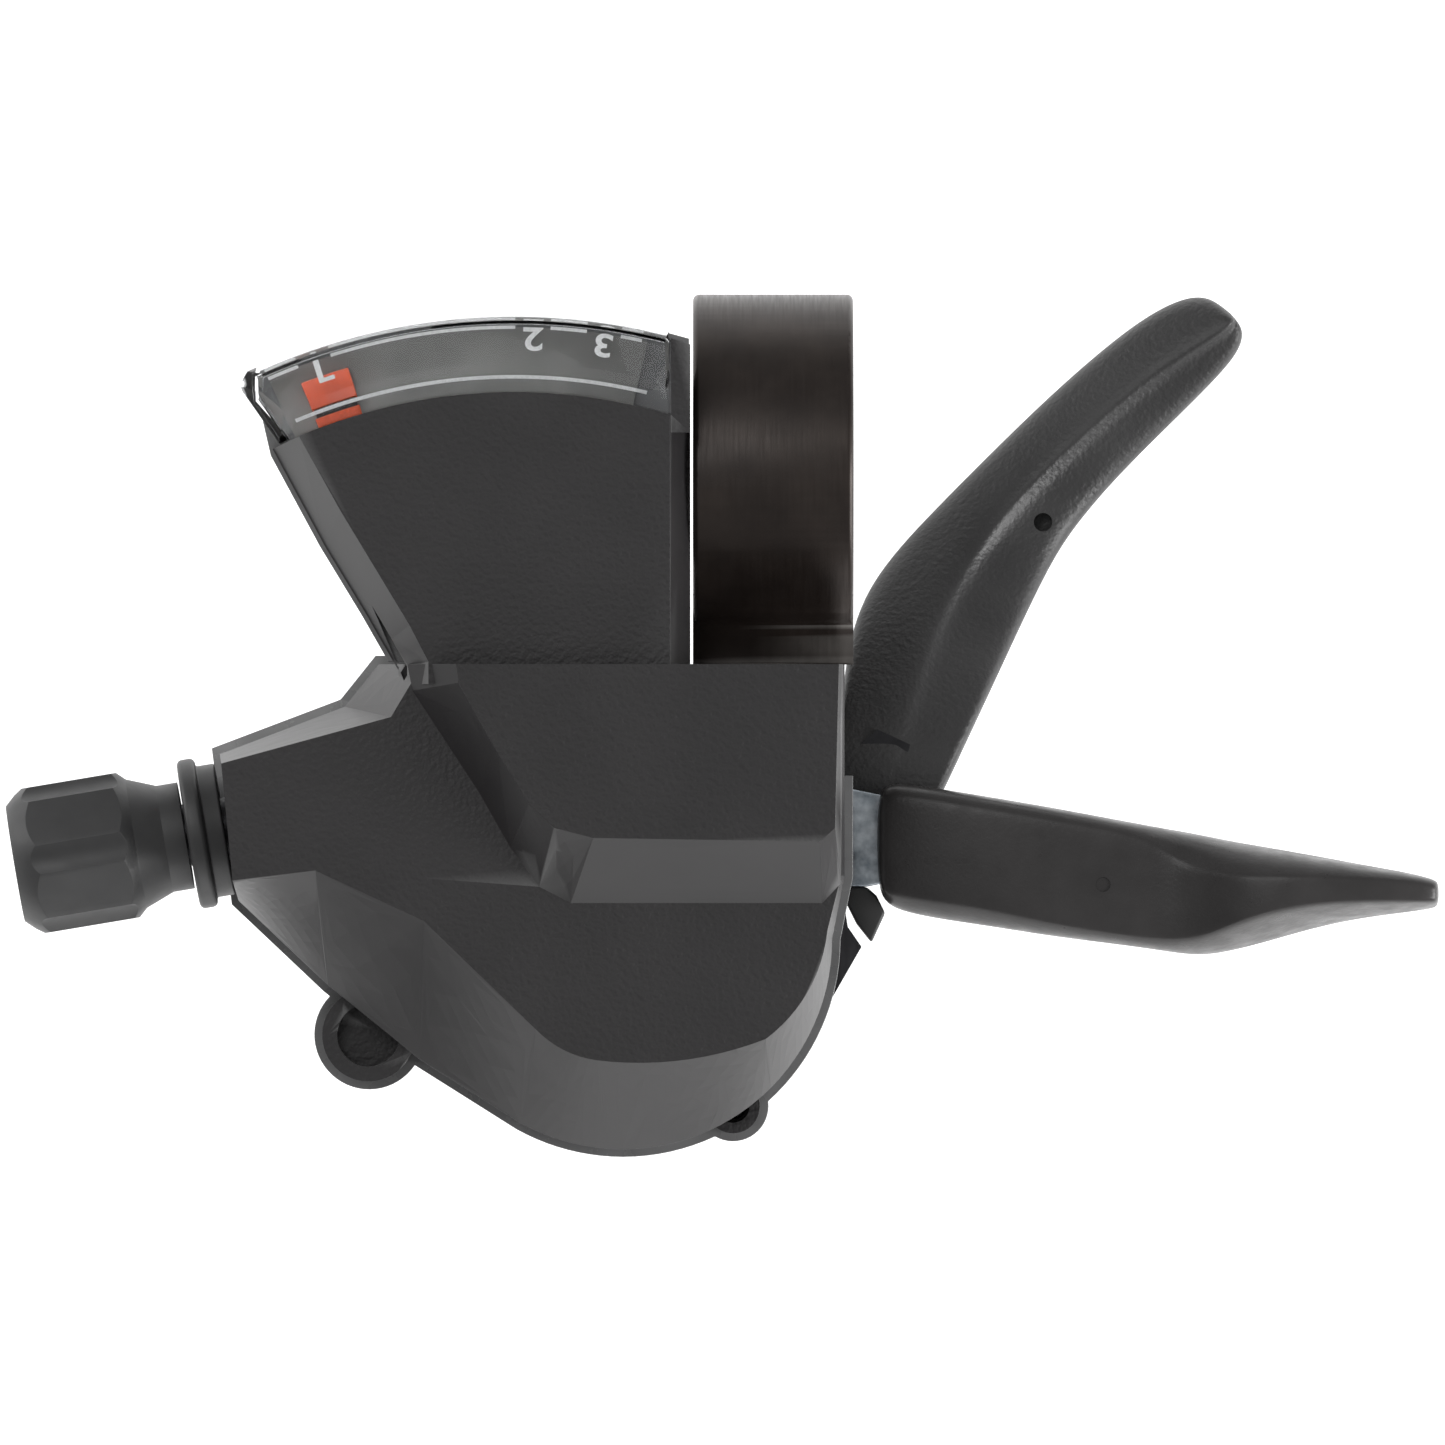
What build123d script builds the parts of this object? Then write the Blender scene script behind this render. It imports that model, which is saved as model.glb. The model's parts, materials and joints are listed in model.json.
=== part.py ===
from build123d import *
import os
from math import atan2, cos, degrees, hypot, pi, radians, sin, sqrt

os.makedirs("parts", exist_ok=True)

# Frame: the origin is the centre of the handlebar clamp's bore. +X runs along the handlebar towards
# its end, +Y points to the rider and +Z is the side that the gear display faces.

# ---- driving dimensions, mm and degrees ----
BAR_R = 11.1                      # handlebar radius
BAND_R = 14.2                     # outside radius of the clamp band
BAND_HALF = 6.4                   # half the band's width along the bar
EAR_TOP, EAR_GAP = 6.0, 0.75      # clamp ears: outer face and half the slot between them
EAR_BACK, EAR_RIGHT = -22.0, 5.6    # their rear face and their outboard side
CLAMP_BOLT = (-0.5, -19.0)

AXLE = (-12.0, -37.4)             # main axle, shared by the spool and the thumb lever
AXLE_R = 2.5
HOLD_PAWL_A = 92.0                # where the holding pawl's pin stands about the main axle
PAWL_PIN_R = 12.2                 # how far both pawl pins are from the main axle
POINTER = (-20.6, -37.4)          # pivot of the display's pointer
TRIGGER = (-6.2, -26.2)           # pivot of the release trigger
RUN = 0.05                        # running clearance on a radius

WALL = 1.6
RIM_Z = 0.0                       # top cover's lower edge
SHOULDER_Z = 7.0                  # where the cover's walls start to slope
PANEL_Z = 15.6                    # large textured panel
LOGO_Z = 19.6                     # raised upper panel
FACE_Z = 17.6                     # display housing's face
WINDOW_Z = 18.1                   # top of the window
TRAY_Z = 11.6                     # underside of the display housing
POINTER_Z, POINTER_T = 12.8, 0.8
RIM_INSET = 0.7                   # the lower cover shows this much outside the top cover
BODY_R = 17.4                     # housing's round end about the main axle

WINDOW_IN, WINDOW_OUT = 43.7, 50.0
SPOOL_LOW, SPOOL_HIGH, SPOOL_R = 3.0, 7.2, 14.2
GROOVE_Z, ADJ_Z = 5.1, 6.3        # heights of the spool's groove and of the adjuster
DRIVE_R, DRIVE_A = 5.34, 35.0     # spool pin that swings the pointer

ADJ_ORIGIN = (-43.6, -28.5)       # where the adjuster's axis meets the arm's end face
ADJ_ANGLE = 9.5                   # its direction from +X

BASE_LOW, BASE_T = -3.6, 1.5      # steel base plate
TRIGGER_LOW, TRIGGER_T = -5.3, 1.4
LEVER_LOW, LEVER_T = -8.0, 1.6
CAP_LOW, CAP_T = -11.4, 1.3

BIG_EAR, BIG_EAR_R = (-32.3, -45.0), 4.4
SMALL_EAR, SMALL_EAR_R = (-3.2, -50.7), 2.85


def save(part, name):
    """Label one finished piece and write it as its own STEP file."""
    part.part.label = name
    export_step(part.part, f"parts/{name}.step")


def polar(centre, radius, angle):
    """Point at a radius and an angle in degrees about a centre."""
    return (centre[0] + radius * cos(radians(angle)), centre[1] + radius * sin(radians(angle)))


def angle_at_x(radius, x):
    """Angle about the pointer's pivot at which an arc crosses a line of constant X."""
    dx = x - POINTER[0]
    return degrees(atan2(sqrt(radius**2 - dx**2), dx))


def tube(centre, outer, inner, low, high):
    """A ring or, with no inner radius, a round bar along Z."""
    with BuildPart() as ring:
        with BuildSketch(Plane.XY.offset(low)):
            with Locations(centre):
                Circle(outer)
                if inner:
                    Circle(inner, mode=Mode.SUBTRACT)
        extrude(amount=high - low)
    return ring


# ---- outlines ----
# An outline is a list of corners, in order. A corner with a third item is the middle of an arc that
# runs from the corner before it to the corner after it.
MID = True


def turns_left(points):
    """Whether the outline runs anticlockwise."""
    return sum(a[0] * b[1] - b[0] * a[1] for a, b in zip(points, points[1:] + points[:1])) > 0


def inset_points(points, amount):
    """Move every corner inwards along its mitre, so that outlines keep their corners one for one."""
    side = amount if turns_left(points) else -amount
    moved = []
    for before, here, after in zip(points[-1:] + points[:-1], points, points[1:] + points[:1]):
        ax, ay = here[0] - before[0], here[1] - before[1]
        bx, by = after[0] - here[0], after[1] - here[1]
        la, lb = hypot(ax, ay), hypot(bx, by)
        ax, ay, bx, by = ax / la, ay / la, bx / lb, by / lb
        share = side / (1 + ax * bx + ay * by)
        moved.append((here[0] - (ay + by) * share, here[1] + (ax + bx) * share, *here[2:]))
    return moved


def face_of(points, inset=0):
    """Face with the outline's corners and arcs."""
    corners = inset_points(points, inset) if inset else points
    if not turns_left(corners):
        corners = corners[::-1]
    edges = []
    for index, here in enumerate(corners):
        after = corners[(index + 1) % len(corners)]
        if len(here) == 3:
            edges.append(ThreePointArc(corners[index - 1][:2], here[:2], after[:2], mode=Mode.PRIVATE))
        elif len(after) == 2:
            edges.append(Line(here, after, mode=Mode.PRIVATE))
    return Face(Wire(edges))


def round_end(angle):
    """Point on the housing's round end."""
    return polar(AXLE, BODY_R, angle)


RIM_RIGHT = 6.4
RIM = [(-31.8, -14.7), (-34.6, -18.2), (-44.9, -22.1), (-43.3, -34.6), (-36.0, -41.5), (-28.6, -47.5),
       (-20.5, -52.6), (*round_end(255), MID), round_end(270), (*round_end(292), MID), round_end(315),
       (*round_end(337), MID), round_end(360), (RIM_RIGHT, -32.4), (RIM_RIGHT, -14.7)]
PANEL = [(-27.9, -15.4), (-30.4, -19.6), (-43.9, -23.3), (-43.0, -32.6), (-36.4, -31.8), (-27.8, -35.8),
         (-18.9, -44.4), (-16.8, -46.0, MID), (-14.0, -46.9), (-6.6, -46.8, MID), (-0.6, -45.2),
         (2.4, -42.0, MID), (4.3, -36.6), (5.4, -32.2), (5.5, -15.4)]
LOGO_FOOT = [(-29.1, -15.4), (-28.7, -17.5), (-23.4, -25.6), (-20.9, -30.0), (-18.6, -33.1),
             (-16.1, -34.4), (3.9, -34.4), (5.4, -32.8), (5.5, -15.4)]
LOGO_TOP = [(-25.2, -15.4), (-25.0, -16.9), (-21.9, -22.4), (-19.4, -26.5), (-17.4, -28.4),
            (-14.3, -29.2), (3.7, -29.5), (4.9, -28.4), (5.2, -15.4)]
LOGO_HOLLOW_FOOT = [(-26.6, -17.0), (-21.6, -25.6), (-17.5, -32.4), (2.8, -32.8), (3.4, -17.0)]
LOGO_HOLLOW_TOP = [(-23.2, -17.0), (-18.2, -25.6), (-14.8, -27.6), (2.4, -27.9), (3.1, -17.0)]


def fan(radius, side, right_x, foot_y):
    """Fan-shaped outline of the display housing: its arc, right side, foot and left side."""
    left_a = degrees(atan2(side[0][1] - POINTER[1], side[0][0] - POINTER[0]))
    right_a = angle_at_x(radius, right_x)
    arc = [polar(POINTER, radius, left_a), (*polar(POINTER, radius, (left_a + right_a) / 2), MID),
           polar(POINTER, radius, right_a)]
    return arc + [(right_x, foot_y), (side[-1][0], foot_y)] + side[:0:-1]


def stacked_loft(lower, low, upper, high):
    """Solid with straight-lined walls between two outlines."""
    return loft([Pos(0, 0, low) * lower, Pos(0, 0, high) * upper], ruled=True, mode=Mode.PRIVATE)


# ---- top cover ----
FAN_SIDE = [(-39.6, 1.2), (-35.7, -6.0), (-32.3, -11.6), (-31.0, -13.9), (-29.9, -15.8)]
FAN_TOP = [(-37.3, 1.8), (-34.4, -3.2), (-31.2, -8.6), (-28.9, -12.3), (-27.4, -15.2)]
FAN_FLOOR_Z = TRAY_Z + 0.8
HOLLOW = RIM_INSET + WALL - 0.4
adj_x = (cos(radians(ADJ_ANGLE)), sin(radians(ADJ_ANGLE)), 0)
adj_plane = Plane(origin=(*ADJ_ORIGIN, ADJ_Z), x_dir=(0, 0, 1), z_dir=(-adj_x[0], -adj_x[1], 0))

with BuildPart() as top_cover:
    # screw ears on the lower edge, each with a moulded recess
    for centre, radius, height, recess in ((BIG_EAR, BIG_EAR_R, 5.6, 2.5), (SMALL_EAR, SMALL_EAR_R, 4.6, 1.3)):
        with BuildSketch(Plane.XY.offset(RIM_Z)):
            with Locations(centre):
                Circle(radius - RIM_INSET)
        extrude(amount=height)
        with BuildSketch(Plane.XY.offset(height - 1.6)):
            with Locations(centre):
                Circle(recess)
        extrude(amount=2, mode=Mode.SUBTRACT)
    with BuildSketch(Plane.XY.offset(RIM_Z)):
        add(face_of(RIM, RIM_INSET))
    extrude(amount=SHOULDER_Z - RIM_Z)
    add(stacked_loft(face_of(RIM, RIM_INSET), SHOULDER_Z, face_of(PANEL), PANEL_Z))
    with BuildSketch(Plane.XY.offset(SHOULDER_Z + 2)):
        add(face_of(LOGO_FOOT))
    extrude(amount=PANEL_Z - SHOULDER_Z - 2)
    add(stacked_loft(face_of(LOGO_FOOT), PANEL_Z, face_of(LOGO_TOP), LOGO_Z))
    fan_r = WINDOW_IN - 0.1
    add(stacked_loft(face_of(fan(fan_r, FAN_SIDE, -6.6, -17.0)), FAN_FLOOR_Z,
                     face_of(fan(fan_r, FAN_TOP, -8.2, -17.0)), FACE_Z))
    # end wall beside the window
    with BuildSketch(Plane.XY.offset(FAN_FLOOR_Z)):
        with BuildLine():
            Polyline((-8.15, 3.0), (-6.6, 3.0), (-6.6, 10.0), (-8.15, 10.5), close=True)
        make_face()
    extrude(amount=FACE_Z - 0.3 - FAN_FLOOR_Z)
    # hollow inside
    with BuildSketch(Plane.XY.offset(RIM_Z)):
        add(face_of(RIM, HOLLOW))
    extrude(amount=SHOULDER_Z - RIM_Z, mode=Mode.SUBTRACT)
    add(stacked_loft(face_of(RIM, HOLLOW), SHOULDER_Z, face_of(PANEL, WALL - 0.3), PANEL_Z - WALL),
        mode=Mode.SUBTRACT)
    with BuildSketch(Plane.XY.offset(SHOULDER_Z + 3)):
        add(face_of(LOGO_HOLLOW_FOOT))
    extrude(amount=PANEL_Z - WALL - SHOULDER_Z - 3, mode=Mode.SUBTRACT)
    add(stacked_loft(face_of(LOGO_HOLLOW_FOOT), PANEL_Z - WALL, face_of(LOGO_HOLLOW_TOP), LOGO_Z - WALL),
        mode=Mode.SUBTRACT)
    hollow_side = [(x + 1.6, y) for x, y in FAN_SIDE]
    hollow_top = [(x + 1.6, y) for x, y in FAN_TOP]
    add(stacked_loft(face_of(fan(fan_r + 0.5, hollow_side, -8.1, -19.0)), FAN_FLOOR_Z,
                     face_of(fan(fan_r + 0.5, hollow_top, -9.6, -19.0)), FACE_Z - WALL + 0.2),
        mode=Mode.SUBTRACT)
    # room for the pointer's swing
    with BuildSketch(Plane.XY.offset(FAN_FLOOR_Z)):
        with BuildLine():
            Polyline(POINTER, polar(POINTER, 42, 113), polar(POINTER, 42, 76), close=True)
        make_face()
    extrude(amount=1.6, mode=Mode.SUBTRACT)
    # notch for the clamp ears and the bracket behind them
    with Locations((0.5, -19.0, RIM_Z)):
        Box(16.0, 11.8, 2 * (EAR_TOP + 0.5), mode=Mode.SUBTRACT)
    # adjuster socket in the arm's end face
    with BuildSketch(adj_plane):
        Circle(3.3)
    extrude(amount=6, both=True, mode=Mode.SUBTRACT)
    # screw holes in the ears
    for centre in (BIG_EAR, SMALL_EAR):
        with BuildSketch(Plane.XY.offset(RIM_Z)):
            with Locations(centre):
                Circle(1.05)
        extrude(amount=3.0, mode=Mode.SUBTRACT)
save(top_cover, "top_cover")

with BuildPart() as pointer_pin:
    with BuildSketch(Plane.XY.offset(POINTER_Z - 0.6)):
        with Locations(POINTER):
            Circle(2.2)
    extrude(amount=0.5)
    with BuildSketch(Plane.XY.offset(POINTER_Z - 0.2)):
        with Locations(POINTER):
            Circle(1.2)
    extrude(amount=PANEL_Z - WALL - POINTER_Z + 0.2)
save(pointer_pin, "pointer_pivot_pin")

# ---- display ----
with BuildPart() as tray:
    # its left end stops short of the window's clear end, and its edge shows as a thin lip along the cover
    tray_side = [(-40.4, 5.4), (-40.0, 1.2), (-36.1, -6.0), (-32.7, -11.6), (-31.4, -13.9), (-30.7, -15.1)]
    with BuildSketch(Plane.XY.offset(TRAY_Z)):
        add(face_of(fan(WINDOW_OUT - 0.1, tray_side, -6.7, -15.2)))
    extrude(amount=FAN_FLOOR_Z - TRAY_Z)
save(tray, "display_tray")


def sector(inner_r, outer_r, start_a, stop_a):
    """Arc-shaped strip about the pointer's pivot."""
    middle = (start_a + stop_a) / 2
    return [polar(POINTER, outer_r, start_a), (*polar(POINTER, outer_r, middle), MID),
            polar(POINTER, outer_r, stop_a), polar(POINTER, inner_r, stop_a),
            (*polar(POINTER, inner_r, middle), MID), polar(POINTER, inner_r, start_a)]


with BuildPart() as dial:
    with BuildSketch(Plane.XY.offset(FAN_FLOOR_Z)):
        add(face_of(sector(WINDOW_IN - 0.9, WINDOW_OUT - 1.2, 77.5, 113.6)))
    extrude(amount=0.3)
save(dial, "display_dial")


def window_outline(inner_r, outer_r, left_out_a, tip, left_in_a, right_x):
    """Outline of the window: two arcs, a mitred left end and a straight right end."""
    right_out, right_in = angle_at_x(outer_r, right_x), angle_at_x(inner_r, right_x)
    return [polar(POINTER, outer_r, left_out_a), (*polar(POINTER, outer_r, 95), MID),
            polar(POINTER, outer_r, right_out), polar(POINTER, inner_r, right_in),
            (*polar(POINTER, inner_r, 95), MID), polar(POINTER, inner_r, left_in_a), tip]


DIGIT_Z = 15.6
WINDOW_FOOT = window_outline(WINDOW_IN, WINDOW_OUT, 115.1, (-42.5, 6.7), 115.3, -8.3)
WINDOW_ROOM = window_outline(WINDOW_IN - 0.5, WINDOW_OUT - 1.0, 114.0, (-40.6, 6.0), 114.0, -8.1)
WINDOW_TOP = window_outline(45.9, 49.3, 113.9, (-40.6, 6.2), 113.5, -8.6)
with BuildPart() as window:
    with BuildSketch(Plane.XY.offset(FAN_FLOOR_Z)):
        add(face_of(WINDOW_FOOT))
    extrude(amount=DIGIT_Z + 0.4 - FAN_FLOOR_Z)
    add(stacked_loft(face_of(WINDOW_FOOT), DIGIT_Z + 0.4, face_of(WINDOW_TOP), WINDOW_Z))
    with BuildSketch(Plane.XY.offset(FAN_FLOOR_Z)):
        add(face_of(WINDOW_ROOM))
    extrude(amount=DIGIT_Z - FAN_FLOOR_Z, mode=Mode.SUBTRACT)
save(window, "display_window")


# x runs along the digit's own right, y towards its top
DIGITS = {
    108.9: [((-0.35, 0.45), (0.1, 0.8)), ((0.1, 0.8), (0.1, -0.8))],
    88.2: [((-0.6, 0.75), (0.6, 0.75)), ((0.6, 0.75), (0.6, 0.05)), ((0.6, 0.05), (-0.6, -0.75)),
           ((-0.6, -0.75), (0.65, -0.75))],
    81.5: [((-0.6, 0.75), (0.6, 0.75)), ((0.6, 0.75), (0.6, -0.75)), ((-0.15, 0.0), (0.6, 0.0)),
           ((-0.6, -0.75), (0.6, -0.75))],
}
STROKE = 0.34
with BuildPart() as digits:
    for digit_angle, strokes in DIGITS.items():
        right = (-sin(radians(digit_angle)), cos(radians(digit_angle)), 0)
        plane = Plane(origin=(*polar(POINTER, 47.9, digit_angle), DIGIT_Z - 0.2),
                      x_dir=right, z_dir=(0, 0, 1))
        with BuildSketch(plane):
            for (x1, y1), (x2, y2) in strokes:
                place = Location(((x1 + x2) / 2, (y1 + y2) / 2, 0), (0, 0, degrees(atan2(y2 - y1, x2 - x1))))
                with Locations(place):
                    Rectangle(hypot(x2 - x1, y2 - y1) + STROKE, STROKE)
        extrude(amount=0.15)
save(digits, "dial_digits")

with BuildPart() as pointer_arm:
    with BuildSketch(Plane.XY.offset(POINTER_Z)):
        with BuildLine():
            Polyline(polar(POINTER, 3.0, 150), polar(POINTER, 22, 110.6), polar(POINTER, 42.5, 109.8),
                     polar(POINTER, 42.5, 107.2), polar(POINTER, 22, 106.0), polar(POINTER, 3.0, 66),
                     polar(POINTER, 2.0, 240), close=True)
        make_face()
        with BuildLine():
            Polyline(polar(POINTER, 2.6, 80), polar(POINTER, 15.8, 21.5), polar(POINTER, 15.8, 5.0),
                     polar(POINTER, 2.6, -60), close=True)
        make_face()
        with Locations(POINTER):
            Circle(3.0)
            Circle(1.2 + RUN, mode=Mode.SUBTRACT)
        # slot that the spool's pin runs in
        with Locations(Location((*polar(POINTER, 13.63, 13.28), 0), (0, 0, 13.28))):
            SlotCenterToCenter(0.9, 1.8, mode=Mode.SUBTRACT)
    extrude(amount=POINTER_T)
save(pointer_arm, "pointer_arm")

with BuildPart() as pointer_flag:
    with BuildSketch(Plane.XY.offset(POINTER_Z)):
        add(face_of(sector(42.5, 48.2, 106.1, 110.9)))
    extrude(amount=POINTER_T + 0.5)
save(pointer_flag, "pointer_flag")

# ---- clamp band and what holds it to the housing ----
BRACKET_SCREWS_X = (-4.0, 3.0)
with BuildPart() as clamp_band:
    with BuildSketch(Plane.YZ.offset(-BAND_HALF)):
        Circle(BAND_R)
    extrude(amount=2 * BAND_HALF)
    fillet(clamp_band.edges(), 0.5)
    # both ears in one, blended into the band by concave arcs
    with BuildSketch(Plane.YZ.offset(-BAND_HALF)):
        with BuildLine():
            ThreePointArc((-9.8, 9.9), (-12.3, 7.2), (-15.2, EAR_TOP))
            Polyline((-15.2, EAR_TOP), (EAR_BACK, EAR_TOP), (EAR_BACK, -EAR_TOP), (-15.2, -EAR_TOP))
            ThreePointArc((-15.2, -EAR_TOP), (-12.3, -7.2), (-9.8, -9.9))
            Line((-9.8, -9.9), (-9.8, 9.9))
        make_face()
    extrude(amount=2 * BAND_HALF)
    # bore for the handlebar, open at the slot between the ears
    with BuildSketch(Plane.YZ.offset(-BAND_HALF)):
        Circle(BAR_R)
        with Locations((-17.0, 0)):
            Rectangle(14.0, 2 * EAR_GAP)
    extrude(amount=2 * BAND_HALF, mode=Mode.SUBTRACT)
    # the ears are narrower than the band, so that they end flush with the cover's side
    with Locations((EAR_RIGHT, -15.4, 0)):
        Box(2.0, 8.0, 20.0, align=(Align.MIN, Align.MAX, Align.CENTER), mode=Mode.SUBTRACT)
    # clamp bolt's hole, with a round seat for its head in the lower ear
    with Locations((*CLAMP_BOLT, 0)):
        Cylinder(2.6, 30, mode=Mode.SUBTRACT)
    # tapped holes for the bracket's screws
    for screw_x in BRACKET_SCREWS_X:
        with Locations((screw_x, EAR_BACK, 3.4)):
            Cylinder(1.05, 6.0, rotation=(90, 0, 0), mode=Mode.SUBTRACT)
save(clamp_band, "clamp_band")

with BuildPart() as clamp_nut:
    with BuildSketch(Plane.XY.offset(EAR_GAP + 0.4)):
        with Locations(CLAMP_BOLT):
            Circle(2.6)
            Circle(2.0, mode=Mode.SUBTRACT)
    extrude(amount=EAR_TOP - EAR_GAP - 0.8)
save(clamp_nut, "clamp_nut")

with BuildPart() as clamp_bolt:
    with BuildSketch(Plane.XY.offset(-EAR_TOP)):
        with Locations(CLAMP_BOLT):
            Circle(2.0)
    extrude(amount=2 * EAR_TOP - 0.6)
    with BuildSketch(Plane.XY.offset(-EAR_TOP)):
        with Locations(CLAMP_BOLT):
            Circle(3.6)
    extrude(amount=-3.2)
    with BuildSketch(Plane.XY.offset(-EAR_TOP - 3.2)):
        with Locations(CLAMP_BOLT):
            RegularPolygon(2.3, 6)
    extrude(amount=2.0, mode=Mode.SUBTRACT)
save(clamp_bolt, "clamp_bolt")

# ---- lower cover and base plate ----
BASE_SCREWS = [(-36.5, -28.0), (-25.5, -21.0), (-24.0, -46.0)]
with BuildPart() as lower_cover:
    with BuildSketch(Plane.XY.offset(BASE_LOW + BASE_T)):
        add(face_of(RIM))
        for centre, radius in ((BIG_EAR, BIG_EAR_R), (SMALL_EAR, SMALL_EAR_R)):
            with Locations(centre):
                Circle(radius)
        # open middle, under the spool and ratchet
        with Locations(AXLE):
            Circle(12.6, mode=Mode.SUBTRACT)
        with Locations((0.5, -18.6)):
            Rectangle(16.0, 11.4, mode=Mode.SUBTRACT)
        with Locations(*BASE_SCREWS, polar(AXLE, PAWL_PIN_R, HOLD_PAWL_A)):
            Circle(1.05, mode=Mode.SUBTRACT)
        for centre in (BIG_EAR, SMALL_EAR):
            with Locations(centre):
                Circle(1.3, mode=Mode.SUBTRACT)
    extrude(amount=RIM_Z - BASE_LOW - BASE_T)
save(lower_cover, "lower_cover")

BASE = [(-40.5, -24.5), (-40.0, -33.5), (-34.5, -39.5), (-27.0, -45.5), (-20.5, -49.8),
        (*polar(AXLE, 13.2, 255), MID), polar(AXLE, 13.2, 270), (*polar(AXLE, 13.2, 290), MID),
        polar(AXLE, 13.2, 308), (4.8, -42.0), (7.1, -38.0), (6.0, -36.4), (5.0, -30.0), (5.0, -23.9),
        (-7.4, -23.9), (-9.5, -20.0), (-28.0, -19.0)]
with BuildPart() as base_plate:
    with BuildSketch(Plane.XY.offset(BASE_LOW)):
        add(face_of(BASE))
        with Locations(AXLE):
            Circle(5.2, mode=Mode.SUBTRACT)
        with Locations(TRIGGER):
            Circle(1.5, mode=Mode.SUBTRACT)
        with Locations(*BASE_SCREWS):
            Circle(1.3, mode=Mode.SUBTRACT)
        with Locations(polar(AXLE, PAWL_PIN_R, HOLD_PAWL_A)):
            Circle(0.9, mode=Mode.SUBTRACT)
    extrude(amount=BASE_T)
    # upright flange against the back of the clamp ears
    with Locations((-0.5, EAR_BACK - 0.95, 0)):
        Box(12.0, 1.9, 10.0, align=(Align.CENTER, Align.CENTER, Align.CENTER))
    with Locations((-0.5, EAR_BACK - 0.95, BASE_LOW - 1.5)):
        Box(14.0, 3.0, 3.0, mode=Mode.SUBTRACT)
    for screw_x in BRACKET_SCREWS_X:
        with Locations((screw_x, EAR_BACK - 1.0, 3.4)):
            Cylinder(1.35, 4.0, rotation=(90, 0, 0), mode=Mode.SUBTRACT)
save(base_plate, "base_plate")


# ---- fasteners of the housing ----
with BuildPart() as cover_screws:
    for centre in (BIG_EAR, SMALL_EAR):
        with BuildSketch(Plane.XY.offset(BASE_LOW + BASE_T)):
            with Locations(centre):
                Circle(1.0)
        extrude(amount=4.8)
        with BuildSketch(Plane.XY.offset(BASE_LOW + BASE_T)):
            with Locations(centre):
                Circle(2.1)
        extrude(amount=-1.3)
save(cover_screws, "cover_screws")

with BuildPart() as base_screws:
    for centre in BASE_SCREWS:
        with BuildSketch(Plane.XY.offset(BASE_LOW)):
            with Locations(centre):
                Circle(1.0)
        extrude(amount=3.3)
        with BuildSketch(Plane.XY.offset(BASE_LOW)):
            with Locations(centre):
                Circle(2.1)
        extrude(amount=-1.2)
save(base_screws, "base_screws")

with BuildPart() as bracket_screws:
    for screw_x in BRACKET_SCREWS_X:
        with BuildSketch(Plane(origin=(screw_x, EAR_BACK - 1.9, 3.4), z_dir=(0, 1, 0))):
            Circle(1.0)
        extrude(amount=3.9)
        with BuildSketch(Plane(origin=(screw_x, EAR_BACK - 1.9, 3.4), z_dir=(0, 1, 0))):
            Circle(1.8)
        extrude(amount=-0.6)
save(bracket_screws, "bracket_screws")

CAP_POSTS = [(-27.0, -33.0), (-19.5, -48.3)]
with BuildPart() as bottom_cap:
    with BuildSketch(Plane.XY.offset(CAP_LOW)):
        with BuildLine():
            Polyline((-30.2, -31.5), (-28.6, -36.5), (-22.6, -50.2), (-16.5, -51.4), (-12.0, -48.2),
                     (-2.6, -43.0), (-1.2, -37.4), (-4.2, -29.8), (-12.0, -26.6), (-26.5, -29.6), close=True)
        make_face()
    extrude(amount=CAP_T)
    fillet(bottom_cap.edges().filter_by(Axis.Z), 1.2)
    with BuildSketch(Plane.XY.offset(CAP_LOW + CAP_T)):
        with Locations(*CAP_POSTS):
            Circle(2.2)
    extrude(amount=BASE_LOW - CAP_LOW - CAP_T)
    with BuildSketch(Plane.XY.offset(CAP_LOW)):
        with Locations(*CAP_POSTS):
            Circle(1.05)
    extrude(amount=BASE_LOW - CAP_LOW, mode=Mode.SUBTRACT)
    chamfer(bottom_cap.edges().filter_by(Axis.Z, reverse=True).group_by(Axis.Z)[0]
            .filter_by(GeomType.CIRCLE, reverse=True), 0.5)
save(bottom_cap, "bottom_cap")

with BuildPart() as cap_screws:
    for centre in CAP_POSTS:
        with BuildSketch(Plane.XY.offset(CAP_LOW)):
            with Locations(centre):
                Circle(1.0)
        extrude(amount=6.5)
        with BuildSketch(Plane.XY.offset(CAP_LOW)):
            with Locations(centre):
                Circle(2.0)
        extrude(amount=-1.2)
save(cap_screws, "cap_screws")

# ---- main axle ----
AXLE_TOP = 11.6
with BuildPart() as main_axle:
    with BuildSketch(Plane.XY.offset(LEVER_LOW - 0.3)):
        with Locations(AXLE):
            Circle(AXLE_R)
    extrude(amount=AXLE_TOP - LEVER_LOW + 0.3)
    with BuildSketch(Plane.XY.offset(LEVER_LOW - 0.3)):
        with Locations(AXLE):
            Circle(4.4)
    extrude(amount=-1.4)
save(main_axle, "main_axle")
save(tube(AXLE, 4.2, AXLE_R, SPOOL_HIGH + 2.4, SPOOL_HIGH + 3.0), "axle_washer")
with BuildPart() as axle_nut:
    with BuildSketch(Plane.XY.offset(SPOOL_HIGH + 3.0)):
        with Locations(AXLE):
            RegularPolygon(4.6, 6)
            Circle(AXLE_R, mode=Mode.SUBTRACT)
    extrude(amount=1.8)
save(axle_nut, "axle_nut")

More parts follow.
